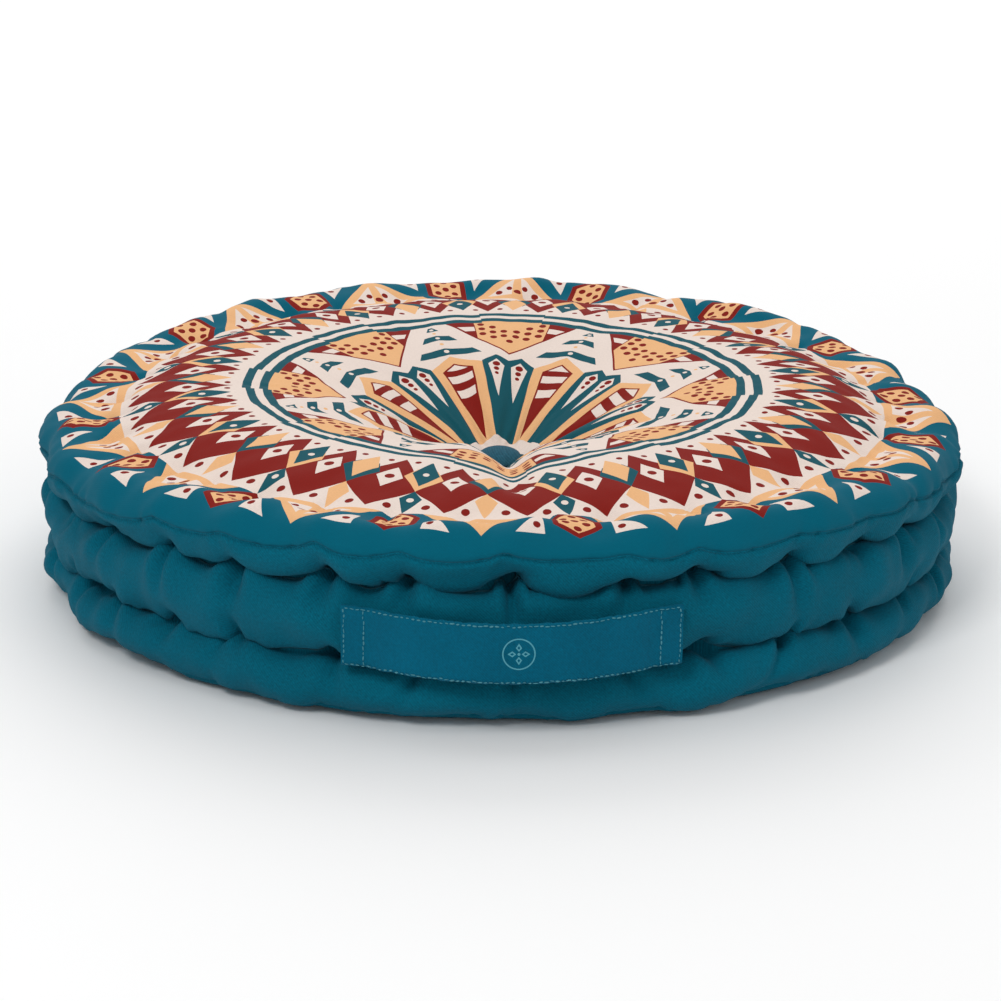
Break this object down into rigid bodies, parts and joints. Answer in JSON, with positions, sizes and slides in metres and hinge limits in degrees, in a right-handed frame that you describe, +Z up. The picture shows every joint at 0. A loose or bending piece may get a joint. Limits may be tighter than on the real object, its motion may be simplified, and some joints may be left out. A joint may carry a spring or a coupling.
{
  "type": "floor cushion",
  "caption": "Round tufted floor cushion with a printed top, stitched edge rolls, a covered centre button and a sewn carry strap on its side.",
  "frame": {"origin": "centre of the bounding box on the floor; the cushion's own axis is 5.7 mm behind it, towards +Y, because the strap stands out at the front", "axes": "+Z up, -Y towards the carry strap, +X to the right seen from the front"},
  "size_m": [0.5, 0.5114, 0.105],
  "materials": {
    "printed_cotton": "matte cotton weave with a geometric rosette print in teal, dark red and peach on ivory",
    "teal_cotton": "matte plain-dyed cotton weave",
    "seam_cotton": "matte stitched seam allowance",
    "strap_cotton": "matte dense cotton weave",
    "pale_thread": "slightly glossy sewing thread",
    "tuft_twine": "waxed twine",
    "fibre_filling": "loose fibre",
    "button_steel": "pressed sheet steel",
    "black_nylon": "matte moulded or woven nylon"
  },
  "bodies": {
    "cushion": {"fill_core": "fibre_filling", "top_panel": "printed_cotton", "side_band": "teal_cotton", "base_panel": "teal_cotton", "upper_edge_seam": "seam_cotton", "lower_edge_seam": "seam_cotton", "upper_roll_twine": "tuft_twine", "lower_roll_twine": "tuft_twine", "top_button_cover": "teal_cotton", "top_button_shell": "button_steel", "top_button_back": "black_nylon", "base_button_cover": "teal_cotton", "base_button_shell": "button_steel", "base_button_back": "black_nylon", "tuft_twine": "tuft_twine", "strap_tab_left": "strap_cotton", "strap_tab_right": "strap_cotton", "tab_stitching_left": "pale_thread", "tab_stitching_right": "pale_thread"},
    "handle": {"strap_grip": "strap_cotton", "strap_stiffener": "black_nylon", "grip_stitching_upper": "pale_thread", "grip_stitching_lower": "pale_thread"}
  },
  "joints": [
    {"name": "strap_swing", "type": "hinge", "parent": "cushion", "child": "handle", "pos_m": [0, -0.23805, 0.04678], "axis": [1, 0, 0], "range_deg": [-20, 25], "stiffness_Nm_per_rad": 0.05}
  ]
}
